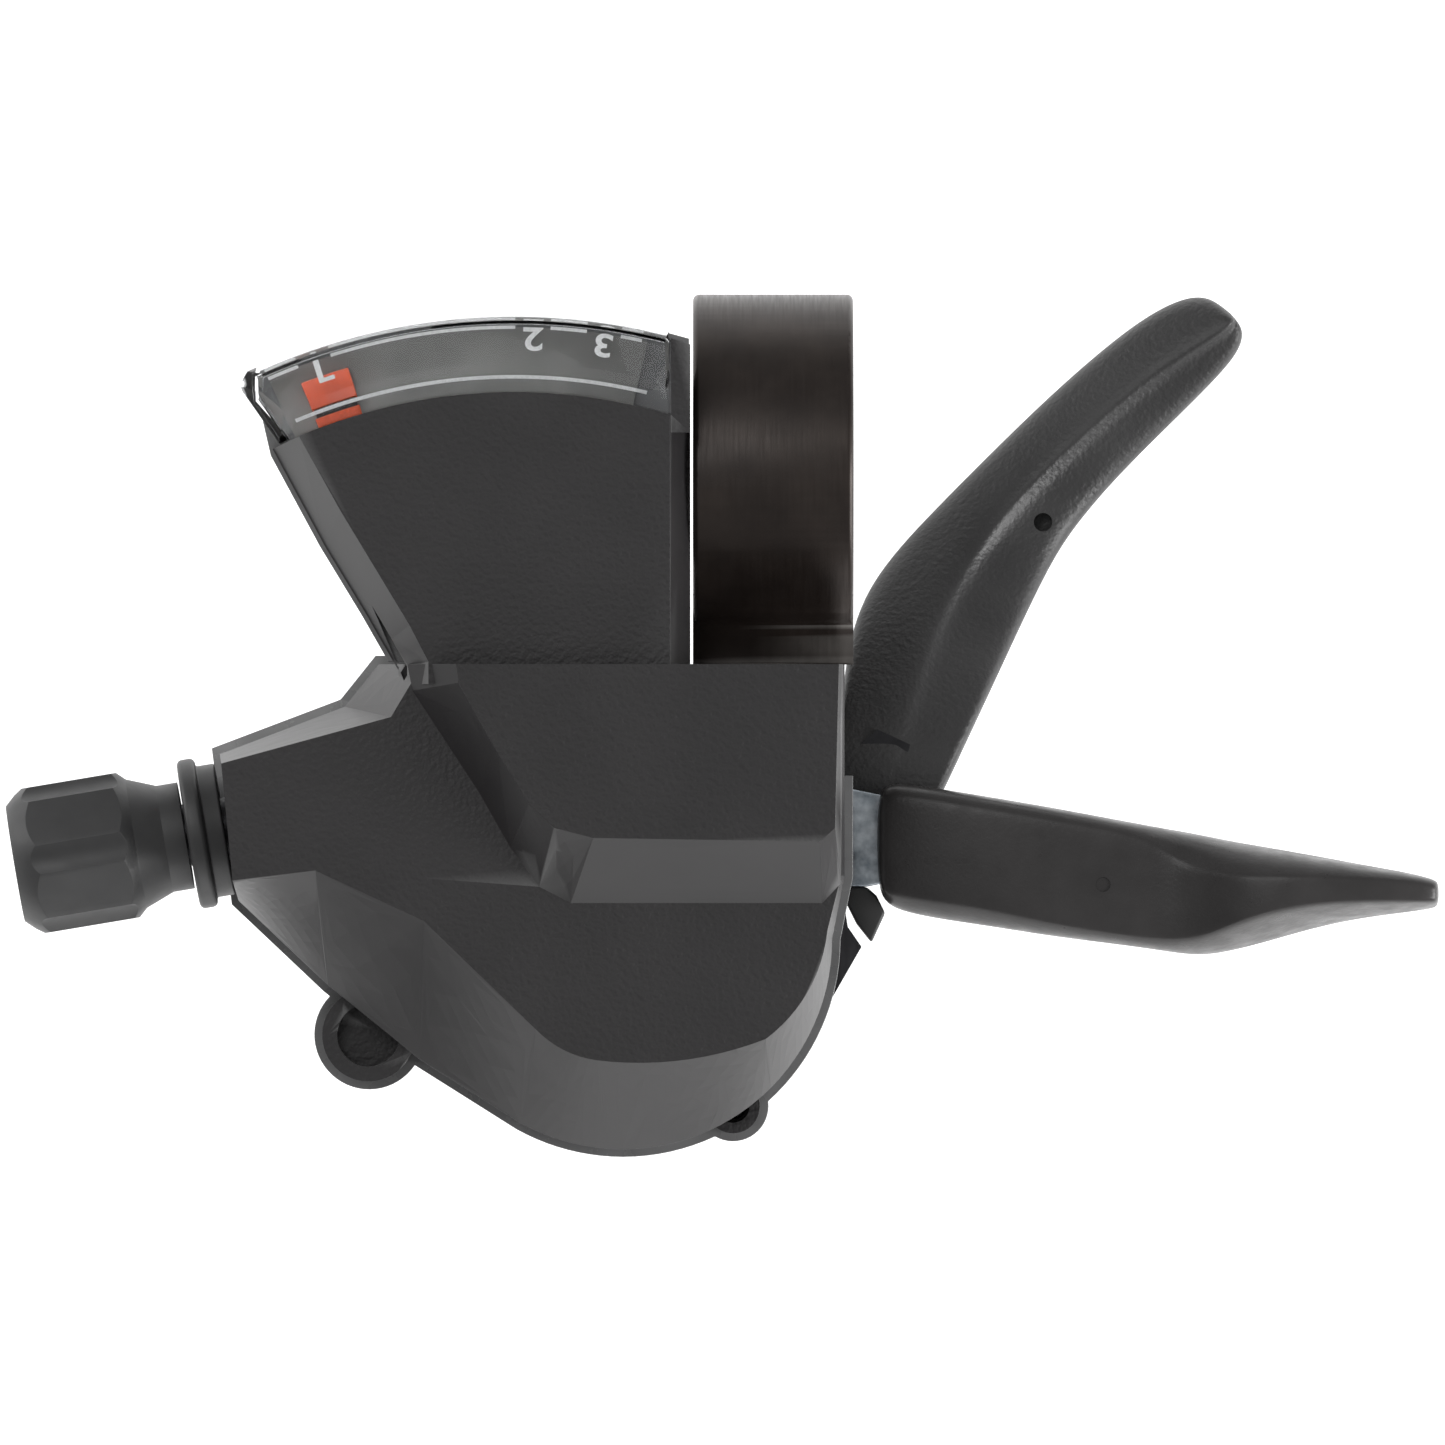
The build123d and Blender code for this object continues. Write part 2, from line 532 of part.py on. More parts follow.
# ---- cable spool ----
with BuildPart() as cable_spool:
    with BuildSketch(Plane.XZ):
        with BuildLine():
            Polyline((AXLE_R + RUN, SPOOL_LOW), (SPOOL_R, SPOOL_LOW), (SPOOL_R, SPOOL_LOW + 0.8),
                     (SPOOL_R - 1.5, GROOVE_Z - 0.7), (SPOOL_R - 1.5, GROOVE_Z + 0.7),
                     (SPOOL_R, SPOOL_HIGH - 0.8), (SPOOL_R, SPOOL_HIGH), (9.0, SPOOL_HIGH),
                     (9.0, SPOOL_HIGH - 0.8),
                     (4.4, SPOOL_HIGH - 0.8), (4.4, SPOOL_HIGH + 2.3), (AXLE_R + RUN, SPOOL_HIGH + 2.3),
                     close=True)
        make_face()
    revolve(axis=Axis.Z)
    # pocket for the cable's end
    with Locations((*polar((0, 0), SPOOL_R - 2.6, 100), GROOVE_Z)):
        Cylinder(1.7, 5.0, mode=Mode.SUBTRACT)
cable_spool.part = Pos(*AXLE, 0) * cable_spool.part
save(cable_spool, "cable_spool")

RATCHET_R = 8.4
with BuildPart() as ratchet_wheel:
    with BuildSketch(Plane.XY.offset(SPOOL_LOW - 1.6)):
        with Locations(AXLE):
            Circle(RATCHET_R)
        for tooth_angle in (84, 104, 124, 170, 190, 210):
            with BuildLine():
                Polyline(polar(AXLE, RATCHET_R - 0.3, tooth_angle - 9),
                         polar(AXLE, RATCHET_R + 1.2, tooth_angle),
                         polar(AXLE, RATCHET_R - 0.3, tooth_angle + 1), close=True)
            make_face()
        with Locations(AXLE):
            Circle(AXLE_R + RUN, mode=Mode.SUBTRACT)
    extrude(amount=1.6)
save(ratchet_wheel, "ratchet_wheel")
drive_pin_at = polar(AXLE, DRIVE_R, DRIVE_A)
drive_pin_top = POINTER_Z + POINTER_T + 0.1
save(tube(drive_pin_at, 0.8, 0, SPOOL_HIGH - 0.8, drive_pin_top), "pointer_drive_pin")


def coil(centre, radius, wire_r, low, pitch, turns):
    """A round-wire spring about a vertical line."""
    with BuildPart() as spring:
        with BuildLine():
            Helix(pitch=pitch, height=pitch * turns, radius=radius, center=(*centre, low + wire_r))
        with BuildSketch(Plane(origin=(centre[0] + radius, centre[1], low + wire_r), z_dir=(0, 1, 0))):
            Circle(wire_r)
        sweep(is_frenet=True)
    return spring


save(coil(AXLE, 7.4, 0.4, SPOOL_HIGH - 0.6, 0.95, 2.0), "spool_return_spring")


# ---- thumb lever ----
LEVER_A = 43.0                    # direction of the lever's arm from the main axle
LEVER_OUTLINE = [(6.9, -9.0), (13.5, -2.4), (22.1, 6.2), (26.8, 10.3), (30.4, 13.1), (32.8, 14.5),
                 (35.0, 14.9, MID), (37.2, 13.2), (38.3, 11.2, MID), (37.8, 9.7), (33.4, 5.3), (28.3, 0.3),
                 (25.4, -3.0), (23.0, -6.2), (21.2, -9.5), (18.6, -15.4), (15.0, -22.6), (8.0, -25.6),
                 (4.6, -22.6), (5.2, -17.0)]
# side profile: distance from the axle along the arm, then height, top edge first
LEVER_SIDE = [(17.0, -5.9), (26.5, -6.6), (36.5, -15.4), (45.0, -18.0), (60.0, -18.6), (75.0, -17.0),
              (75.0, -22.4), (60.0, -24.0), (44.0, -22.8), (33.0, -17.6), (27.0, -11.4), (17.0, -10.2)]
arm_dir = (cos(radians(LEVER_A)), sin(radians(LEVER_A)), 0)

with BuildPart() as lever_plate:
    with BuildSketch(Plane.XY.offset(LEVER_LOW)):
        with Locations(AXLE):
            Circle(6.4)
        with BuildLine():
            Polyline(polar(AXLE, 6.3, 124), polar(AXLE, 15.0, 42), (5.0, -23.4), (8.4, -20.6), (11.0, -21.8),
                     (10.2, -24.6), (6.4, -26.6), polar(AXLE, 14.0, 18), polar(AXLE, 6.3, -56), close=True)
        make_face()
        with Locations(AXLE):
            Circle(AXLE_R + RUN, mode=Mode.SUBTRACT)
    extrude(amount=LEVER_T)
save(lever_plate, "thumb_lever_plate")

with BuildPart() as lever_grip:
    with BuildSketch(Plane.XY.offset(-30)):
        add(face_of(LEVER_OUTLINE))
    extrude(amount=30)
    with BuildSketch(Plane(origin=(*AXLE, 0), x_dir=arm_dir, z_dir=(arm_dir[1], -arm_dir[0], 0))):
        with BuildLine():
            Polyline(*LEVER_SIDE, close=True)
        make_face()
    extrude(amount=40, both=True, mode=Mode.INTERSECT)
    fillet(lever_grip.edges().filter_by(Axis.Z).group_by(SortBy.LENGTH)[-1], 0.4)
    add(lever_plate.part, mode=Mode.SUBTRACT)
    # small moulding hole near the outer edge
    with Locations((21.8, -3.9, -20.0)):
        Cylinder(0.8, 12.0, mode=Mode.SUBTRACT)
save(lever_grip, "thumb_lever_grip")
save(tube(AXLE, 4.2, AXLE_R + RUN, LEVER_LOW + LEVER_T, 0.2), "thumb_lever_sleeve")

PAWL_ARM_A = 205.0                # where the drive pawl's pin sits at rest
with BuildPart() as pawl_carrier:
    with BuildSketch(Plane.XY.offset(0.2)):
        with Locations(AXLE):
            Circle(6.0)
        with BuildLine():
            Polyline(polar(AXLE, 5.9, PAWL_ARM_A + 40), polar(AXLE, 13.4, PAWL_ARM_A + 9),
                     polar(AXLE, 14.2, PAWL_ARM_A), polar(AXLE, 13.4, PAWL_ARM_A - 9),
                     polar(AXLE, 5.9, PAWL_ARM_A - 40), close=True)
        make_face()
        with Locations(AXLE):
            Circle(AXLE_R + RUN, mode=Mode.SUBTRACT)
        with Locations(polar(AXLE, PAWL_PIN_R, PAWL_ARM_A)):
            Circle(0.9, mode=Mode.SUBTRACT)
    extrude(amount=1.0)
save(pawl_carrier, "pawl_carrier")


def pawl(pin_angle, tip_angle):
    """A pawl about its pin, its nose just clear of the ratchet's teeth."""
    with BuildPart() as lever:
        pin = polar(AXLE, PAWL_PIN_R, pin_angle)
        with BuildSketch(Plane.XY.offset(SPOOL_LOW - 1.6)):
            with Locations(pin):
                Circle(1.9)
            with BuildLine():
                Polyline(polar(pin, 1.85, pin_angle + 5), polar(AXLE, 12.6, (pin_angle + tip_angle) / 2),
                         polar(AXLE, 10.9, tip_angle), polar(AXLE, 9.85, tip_angle + 1),
                         polar(AXLE, 10.3, (pin_angle + tip_angle) / 2), polar(pin, 1.6, pin_angle + 180),
                         close=True)
            make_face()
            with Locations(pin):
                Circle(0.9 + RUN, mode=Mode.SUBTRACT)
        extrude(amount=1.3)
    return lever


save(pawl(PAWL_ARM_A, PAWL_ARM_A - 34), "drive_pawl")
save(tube(polar(AXLE, PAWL_PIN_R, PAWL_ARM_A), 0.9, 0, 0.2, SPOOL_LOW - 0.2), "drive_pawl_pin")
save(pawl(HOLD_PAWL_A, HOLD_PAWL_A + 34), "holding_pawl")
save(tube(polar(AXLE, PAWL_PIN_R, HOLD_PAWL_A), 0.9, 0, BASE_LOW + 0.5, SPOOL_LOW - 0.2), "holding_pawl_pin")
save(coil(AXLE, 5.3, 0.35, LEVER_LOW + LEVER_T + 0.1, 0.85, 2.0), "thumb_lever_spring")

# ---- release trigger ----
with BuildPart() as trigger_plate:
    with BuildSketch(Plane.XY.offset(TRIGGER_LOW)):
        with Locations(TRIGGER):
            Circle(3.4)
        with BuildLine():
            Polyline(polar(TRIGGER, 3.35, 82), (8.9, -25.9), (14.0, -27.6), (14.0, -32.0), (7.5, -33.2),
                     (5.8, -33.2), (5.3, -31.0), polar(TRIGGER, 3.35, -110), close=True)
        make_face()
        with Locations(TRIGGER):
            Circle(1.5 + RUN, mode=Mode.SUBTRACT)
    extrude(amount=TRIGGER_T)
save(trigger_plate, "release_trigger_plate")

with BuildPart() as trigger_tab:
    with BuildSketch(Plane.XY.offset(TRIGGER_LOW)):
        with BuildLine():
            Polyline((5.8, -33.2), (7.5, -33.2), (8.3, -33.9), (9.0, -35.3), (7.9, -37.7), (6.7, -36.2),
                     (5.8, -34.4), close=True)
        make_face()
    extrude(amount=TRIGGER_T)
save(trigger_tab, "release_trigger_tab")

TRIGGER_OUTLINE = [(9.4, -24.4), (16.6, -25.7), (51.0, -31.9), (52.9, -32.6), (53.4, -33.8, MID), (52.3, -35.1),
                   (47.0, -35.8), (42.2, -36.8), (38.4, -38.1), (35.0, -38.9), (27.8, -37.9), (15.0, -36.1),
                   (9.2, -35.4), (8.5, -33.9), (7.6, -32.7)]
TRIGGER_SIDE = [(7.0, -0.9), (16.0, -0.2), (27.0, 1.6), (34.0, 2.8), (44.0, 3.6), (54.0, 3.0),
                (54.0, -5.6), (44.0, -8.0), (35.0, -7.6), (27.0, -5.7), (7.0, -5.7)]
with BuildPart() as trigger_grip:
    with BuildSketch(Plane.XY.offset(-10)):
        add(face_of(TRIGGER_OUTLINE))
    extrude(amount=16)
    with BuildSketch(Plane.XZ):
        with BuildLine():
            Polyline(*TRIGGER_SIDE, close=True)
        make_face()
    extrude(amount=60, both=True, mode=Mode.INTERSECT)
    add(trigger_plate.part, mode=Mode.SUBTRACT)
    with Locations((7.0, -34.0, TRIGGER_LOW + 0.6)):
        Box(4.4, 8.0, TRIGGER_T + 1.4, mode=Mode.SUBTRACT)
save(trigger_grip, "release_trigger_grip")

with BuildPart() as trigger_pin:
    with BuildSketch(Plane.XY.offset(TRIGGER_LOW - 0.9)):
        with Locations(TRIGGER):
            Circle(2.4)
    extrude(amount=0.8)
    with BuildSketch(Plane.XY.offset(-8.4)):
        with Locations(TRIGGER):
            Circle(1.5)
    extrude(amount=8.4 + BASE_LOW + BASE_T)
save(trigger_pin, "release_trigger_pin")
save(coil(TRIGGER, 2.1, 0.3, -8.4, 0.75, 2.2), "release_trigger_spring")

# ---- barrel adjuster ----
# Heights here run outwards from the arm's end face.
COLLAR_FOOT, COLLAR_HIGH = 0.15, 3.1
with BuildPart() as adjuster_collar:
    with BuildSketch(adj_plane.offset(COLLAR_FOOT)):
        Circle(5.3)
    extrude(amount=1.5)
    with BuildSketch(adj_plane.offset(COLLAR_FOOT + 1.5)):
        Circle(6.0)
    extrude(amount=COLLAR_HIGH - COLLAR_FOOT - 1.5)
    chamfer(adjuster_collar.edges().filter_by(lambda e: abs(e.length - 2 * pi * 6.0) < 0.01), 0.25)
    with BuildSketch(adj_plane):
        Circle(2.5 + RUN)
    extrude(amount=8, mode=Mode.SUBTRACT)
save(adjuster_collar, "adjuster_collar")

KNOB_LOW, KNOB_HIGH = 3.3, 17.1
SCREW_R, SOCKET_R, SOCKET_DEPTH = 2.5, 2.75, 8.0
with BuildPart() as adjuster_knob:
    # turned outline: radius and height
    with BuildSketch(Plane.XZ):
        with BuildLine():
            Polyline((0, KNOB_LOW), (4.3, KNOB_LOW), (4.3, 5.0), (5.2, 7.3), (6.5, 8.7), (6.5, 14.7),
                     (5.4, 16.3), (4.66, KNOB_HIGH), (0, KNOB_HIGH), close=True)
        make_face()
    revolve(axis=Axis.Z)
    with BuildSketch(Plane.XY):
        RegularPolygon(6.75, 6)
    extrude(amount=20, mode=Mode.INTERSECT)
    # finger grooves between the lobes
    with PolarLocations(8.2, 6):
        Cylinder(2.4, 60, mode=Mode.SUBTRACT)
    with Locations((0, 0, KNOB_LOW)):
        Cylinder(SCREW_R, 2 * 4.8, mode=Mode.SUBTRACT)
    Cylinder(1.2, 60, mode=Mode.SUBTRACT)
    with Locations((0, 0, KNOB_HIGH)):
        Cylinder(SOCKET_R, 2 * SOCKET_DEPTH, mode=Mode.SUBTRACT)
adjuster_knob.part = adj_plane.location * adjuster_knob.part
save(adjuster_knob, "adjuster_knob")

with BuildPart() as adjuster_screw:
    with BuildSketch(adj_plane.offset(-9.0)):
        Circle(SCREW_R)
        Circle(1.2, mode=Mode.SUBTRACT)
    extrude(amount=9.0 + KNOB_LOW + 4.6)
save(adjuster_screw, "adjuster_screw")

with BuildPart() as adjuster_nut:
    with BuildSketch(adj_plane.offset(-6.5)):
        RegularPolygon(4.6, 6)
        Circle(SCREW_R + RUN, mode=Mode.SUBTRACT)
    extrude(amount=3.2)
save(adjuster_nut, "adjuster_nut")
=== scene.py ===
import json
from math import cos, radians, sin

import bmesh
import bpy
from mathutils import Matrix, Vector


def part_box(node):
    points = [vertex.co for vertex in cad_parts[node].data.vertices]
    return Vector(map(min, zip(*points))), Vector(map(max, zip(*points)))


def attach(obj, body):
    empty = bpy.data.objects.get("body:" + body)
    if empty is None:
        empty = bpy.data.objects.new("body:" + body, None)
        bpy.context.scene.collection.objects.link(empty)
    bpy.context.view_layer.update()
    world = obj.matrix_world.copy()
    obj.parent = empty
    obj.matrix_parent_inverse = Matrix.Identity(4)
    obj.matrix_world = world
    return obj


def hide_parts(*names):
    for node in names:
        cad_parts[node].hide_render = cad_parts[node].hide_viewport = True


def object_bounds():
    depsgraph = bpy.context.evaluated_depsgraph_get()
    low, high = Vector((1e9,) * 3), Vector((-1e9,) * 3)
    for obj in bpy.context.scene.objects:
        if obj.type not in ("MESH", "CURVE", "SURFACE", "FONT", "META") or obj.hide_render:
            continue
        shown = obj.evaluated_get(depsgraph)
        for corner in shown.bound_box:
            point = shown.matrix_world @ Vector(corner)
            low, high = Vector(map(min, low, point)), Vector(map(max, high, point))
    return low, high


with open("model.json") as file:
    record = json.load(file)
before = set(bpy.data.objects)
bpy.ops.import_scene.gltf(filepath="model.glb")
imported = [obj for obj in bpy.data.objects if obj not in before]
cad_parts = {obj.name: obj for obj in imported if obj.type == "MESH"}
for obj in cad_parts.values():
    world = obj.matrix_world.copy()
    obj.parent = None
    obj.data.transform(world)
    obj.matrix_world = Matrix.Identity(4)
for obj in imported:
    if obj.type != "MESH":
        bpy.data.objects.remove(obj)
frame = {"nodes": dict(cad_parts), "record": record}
cad_low, cad_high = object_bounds()

MM = 0.001
NODES = frame["nodes"]
JOINTS = {joint["name"]: joint for joint in frame["record"]["behaviour"]["joints"]}
AXLE = Vector(JOINTS["thumb_push"]["pos_m"]) / MM
PIVOT = Vector(JOINTS["pointer_swing"]["pos_m"]) / MM

# ---------------------------------------------------------------- materials


class Shader:
    """A material's node tree, with short calls for the nodes that these materials use."""

    def __init__(self, name, color, roughness, metallic=0.0):
        self.material = bpy.data.materials.new(name)
        self.material.use_nodes = True
        self.tree = self.material.node_tree
        self.surface = self.tree.nodes["Principled BSDF"]
        self.surface.inputs["Base Color"].default_value = (*color, 1)
        self.surface.inputs["Roughness"].default_value = roughness
        self.surface.inputs["Metallic"].default_value = metallic
        self.coordinates = self.tree.nodes.new("ShaderNodeTexCoord").outputs["Object"]
        self.bump_normal = None

    def set(self, **values):
        for name, value in values.items():
            self.surface.inputs[name.replace("_", " ")].default_value = value
        return self

    def stretched(self, scale):
        """Object coordinates stretched along the axes, for streaks and brushing."""
        mapping = self.tree.nodes.new("ShaderNodeMapping")
        mapping.inputs["Scale"].default_value = scale
        self.tree.links.new(self.coordinates, mapping.inputs["Vector"])
        return mapping.outputs["Vector"]

    def noise(self, size_mm, detail=2.0, coordinates=None):
        noise = self.tree.nodes.new("ShaderNodeTexNoise")
        noise.inputs["Scale"].default_value = 1 / (size_mm * MM)
        noise.inputs["Detail"].default_value = detail
        self.tree.links.new(coordinates or self.coordinates, noise.inputs["Vector"])
        return noise.outputs["Fac"]

    def edges(self, low=0.56, high=0.64):
        """1 along sharp outer edges, where the finishes get a painted highlight."""
        point = self.tree.nodes.new("ShaderNodeNewGeometry").outputs["Pointiness"]
        return self.ranged(point, low, high, 0, 1)

    def facing_up(self):
        """1 on level faces, which are the grained panels, and 0 on the sloped walls."""
        normal = self.tree.nodes.new("ShaderNodeNewGeometry").outputs["True Normal"]
        split = self.tree.nodes.new("ShaderNodeSeparateXYZ")
        self.tree.links.new(normal, split.inputs[0])
        return self.ranged(split.outputs["Z"], 0.985, 0.998, 0, 1)

    def ranged(self, value, low, high, to_low, to_high):
        ramp = self.tree.nodes.new("ShaderNodeMapRange")
        for name, number in (("From Min", low), ("From Max", high), ("To Min", to_low), ("To Max", to_high)):
            ramp.inputs[name].default_value = number
        self.tree.links.new(value, ramp.inputs["Value"])
        return ramp.outputs["Result"]

    def times(self, first, second):
        product = self.tree.nodes.new("ShaderNodeMath")
        product.operation = "MULTIPLY"
        self.tree.links.new(first, product.inputs[0])
        self.tree.links.new(second, product.inputs[1])
        return product.outputs[0]

    def mix_color(self, factor, dark, light):
        mix = self.tree.nodes.new("ShaderNodeMix")
        mix.data_type = "RGBA"
        self.tree.links.new(factor, mix.inputs["Factor"])
        for socket, value in (("A", dark), ("B", light)):
            target = [item for item in mix.inputs if item.name == socket and item.type == "RGBA"][0]
            if isinstance(value, tuple):
                target.default_value = (*value, 1)
            else:
                self.tree.links.new(value, target)
        return [item for item in mix.outputs if item.type == "RGBA"][0]

    def color(self, output):
        self.tree.links.new(output, self.surface.inputs["Base Color"])
        return self

    def rough(self, output):
        self.tree.links.new(output, self.surface.inputs["Roughness"])
        return self

    def bump(self, height, depth_mm, strength=1.0):
        node = self.tree.nodes.new("ShaderNodeBump")
        node.inputs["Distance"].default_value = depth_mm * MM
        node.inputs["Strength"].default_value = strength
        self.tree.links.new(height, node.inputs["Height"])
        if self.bump_normal:
            self.tree.links.new(self.bump_normal, node.inputs["Normal"])
        self.bump_normal = node.outputs["Normal"]
        self.tree.links.new(self.bump_normal, self.surface.inputs["Normal"])
        return self


def grained_plastic(name, dark, light, grain_mm=0.32, depth=0.035, roughness=(0.42, 0.56), everywhere=False,
                    edge_highlight_grey=0.16):
    """Black moulded plastic: spark-eroded grain on level panels, smoother on the sloped walls."""
    shade = Shader(name, dark, roughness[1])
    grain = shade.noise(grain_mm, 1.5)
    cloud = shade.noise(9.0, 3.0)
    level = shade.facing_up()
    tone = shade.mix_color(shade.ranged(cloud, 0.35, 0.65, 0, 1), dark, light)
    # lighter along sharp edges, patchy with the cloud: a painted edge highlight
    edge_highlighted = shade.mix_color(shade.times(shade.edges(), cloud), tone, (edge_highlight_grey, edge_highlight_grey, edge_highlight_grey))
    shade.color(edge_highlighted)
    if everywhere:
        shade.bump(grain, depth)
        shade.rough(shade.ranged(cloud, 0.3, 0.7, *roughness))
    else:
        shade.bump(shade.times(grain, level), depth)
        shade.bump(shade.noise(0.9, 2.0), 0.004)
        shade.rough(shade.ranged(level, 0, 1, *roughness))
    return shade.material


def smooth_plastic(name, color, roughness=0.42):
    shade = Shader(name, color, roughness)
    cloud = shade.noise(6.0, 3.0)
    lifted = tuple(min(1.0, channel * 1.5 + 0.004) for channel in color)
    shade.color(shade.mix_color(shade.ranged(cloud, 0.3, 0.7, 0, 1), color, lifted))
    shade.rough(shade.ranged(shade.noise(2.5, 4.0), 0.3, 0.7, roughness - 0.05, roughness + 0.07))
    shade.bump(shade.noise(0.5, 2.0), 0.006)
    return shade.material


def band_metal():
    """Satin black anodised metal with a brown cast and fine turning marks round the band."""
    shade = Shader("band_satin", (0.03, 0.022, 0.018), 0.36, 0.55)
    turned = shade.noise(0.22, 3.0, shade.stretched((1.0, 0.05, 0.05)))
    cloud = shade.noise(5.0, 3.0)
    tone = shade.mix_color(shade.ranged(cloud, 0.35, 0.65, 0, 1), (0.019, 0.0138, 0.0118), (0.031, 0.0235,
                                                                                            0.02))
    # lighter along sharp edges, patchy with the cloud: a painted edge highlight
    shade.color(shade.mix_color(shade.times(shade.edges(), cloud), tone, (0.2, 0.19, 0.18)))
    shade.rough(shade.ranged(turned, 0.3, 0.7, 0.3, 0.42))
    shade.bump(turned, 0.006)
    return shade.material


def painted_casting():
    """Black paint over a casting: slight orange peel, glossier than the plastic."""
    shade = Shader("trigger_paint", (0.012, 0.0105, 0.0105), 0.33).set(Specular_IOR_Level=0.3)
    cloud = shade.noise(7.0, 3.0)
    tone = shade.mix_color(shade.ranged(cloud, 0.35, 0.65, 0, 1), (0.028, 0.0265, 0.0265), (0.036, 0.034,
                                                                                            0.034))
    # lighter along sharp edges, patchy with the cloud: a painted edge highlight
    shade.color(shade.mix_color(shade.times(shade.edges(0.58, 0.66), cloud), tone, (0.06, 0.057, 0.056)))
    shade.rough(shade.ranged(shade.noise(1.6, 4.0), 0.3, 0.7, 0.27, 0.42))
    shade.bump(shade.noise(0.35, 2.0), 0.016)
    return shade.material


def zinc_plate():
    """Zinc plating with its mottled crystal patches."""
    shade = Shader("zinc_mottled", (0.4, 0.44, 0.48), 0.42, 0.85)
    patches = shade.ranged(shade.noise(1.1, 5.0), 0.3, 0.7, 0, 1)
    shade.color(shade.mix_color(patches, (0.26, 0.3, 0.34), (0.62, 0.67, 0.71)))
    shade.rough(shade.ranged(shade.noise(0.6, 3.0), 0.3, 0.7, 0.3, 0.55))
    shade.bump(shade.noise(0.5, 4.0), 0.01)
    return shade.material


def brushed_metal(name, color, roughness=0.34):
    shade = Shader(name, color, roughness, 0.95)
    brushing = shade.noise(0.3, 4.0, shade.stretched((1.0, 0.12, 1.0)))
    darker = tuple(channel * 0.72 for channel in color)
    shade.color(shade.mix_color(shade.ranged(shade.noise(3.0, 3.0), 0.3, 0.7, 0, 1), darker, color))
    shade.rough(shade.ranged(brushing, 0.3, 0.7, roughness - 0.08, roughness + 0.12))
    shade.bump(brushing, 0.006)
    return shade.material


def clear_plastic():
    shade = Shader("clear_window", (0.97, 0.98, 0.99), 0.03).set(Transmission_Weight=1.0, IOR=1.2)
    shade.bump(shade.noise(8.0, 2.0), 0.004)
    return shade.material


def printed(name, color, roughness=0.5):
    shade = Shader(name, color, roughness)
    specks = shade.noise(0.25, 3.0)
    darker = tuple(channel * 0.86 for channel in color)
    shade.color(shade.mix_color(shade.ranged(specks, 0.35, 0.65, 0, 1), darker, color))
    shade.bump(specks, 0.003)
    return shade.material


cover_black = grained_plastic("cover_grain", (0.0105, 0.0095, 0.0102), (0.0145, 0.0132, 0.014), 0.42, 0.11,
                              (0.4, 0.6))
# grey far lighter than the cover's black: a painted highlight for the lower cover's bright rim line; the
# display tray shares it
rim_painted_highlight = smooth_plastic("rim_gloss_painted_highlight", (0.1, 0.1, 0.101), 0.26)
lever_black = grained_plastic("lever_grain", (0.02, 0.0195, 0.02), (0.027, 0.0265, 0.027), 0.42, 0.07,
                              (0.42, 0.56), True, 0.035)
adjuster_black = smooth_plastic("adjuster_matte", (0.02, 0.02, 0.0205), 0.46)
nylon_black = smooth_plastic("nylon_black", (0.016, 0.016, 0.016), 0.5)
steel = brushed_metal("plain_steel", (0.5, 0.5, 0.5))
blackened = brushed_metal("blackened_steel", (0.045, 0.045, 0.048), 0.38)
brass = brushed_metal("nut_brass", (0.62, 0.46, 0.22))
SLOT_MATERIALS = {
    "cover_plastic": cover_black,
    "clear_plastic": clear_plastic(),
    "dial_grey": smooth_plastic("dial_print", (0.15, 0.147, 0.139), 0.4),
    "digit_print": printed("white_print", (0.8, 0.8, 0.79)),
    "pointer_orange": printed("orange_flag", (0.9, 0.105, 0.02), 0.42),
    "band_black": band_metal(),
    "steel": steel,
    "black_steel": blackened,
    "zinc_steel": zinc_plate(),
    "spool_plastic": nylon_black,
    "lever_plastic": lever_black,
    "trigger_black": painted_casting(),
    "adjuster_plastic": adjuster_black,
    "brass": brass,
}
NODE_SLOT = {row["node"]: row["material_slot"] for row in frame["record"]["subparts"]}


def dress(piece, material):
    piece.data.materials.clear()
    piece.data.materials.append(material)


for node, thing in NODES.items():
    finish = SLOT_MATERIALS[NODE_SLOT[node]]
    for index in range(len(thing.material_slots)):
        thing.material_slots[index].material = finish
for index in range(len(NODES["thumb_lever_plate"].material_slots)):
    NODES["thumb_lever_plate"].material_slots[index].material = blackened

# ---------------------------------------------------------------- pieces


def finish_piece(piece, body, slot, material, *replaced):
    """Give a new piece its body and its finish, and hide the nodes that it stands for."""
    dress(piece, material)
    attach(piece, body)
    if replaced:
        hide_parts(*replaced)
    return piece


def smooth_by_angle(mesh, angle=32):
    mesh.polygons.foreach_set("use_smooth", [True] * len(mesh.polygons))
    mesh.set_sharp_from_angle(angle=radians(angle))


def apply_modifiers(piece):
    """Replace a piece's mesh with the result of its modifiers."""
    evaluated = piece.evaluated_get(bpy.context.evaluated_depsgraph_get())
    mesh = bpy.data.meshes.new_from_object(evaluated)
    piece.modifiers.clear()
    piece.data = mesh
    return piece


def new_piece(name, build):
    mesh = bpy.data.meshes.new(name)
    bm = bmesh.new()
    build(bm)
    bmesh.ops.recalc_face_normals(bm, faces=bm.faces)
    bm.to_mesh(mesh)
    bm.free()
    piece = bpy.data.objects.new(name, mesh)
    bpy.context.scene.collection.objects.link(piece)
    return piece


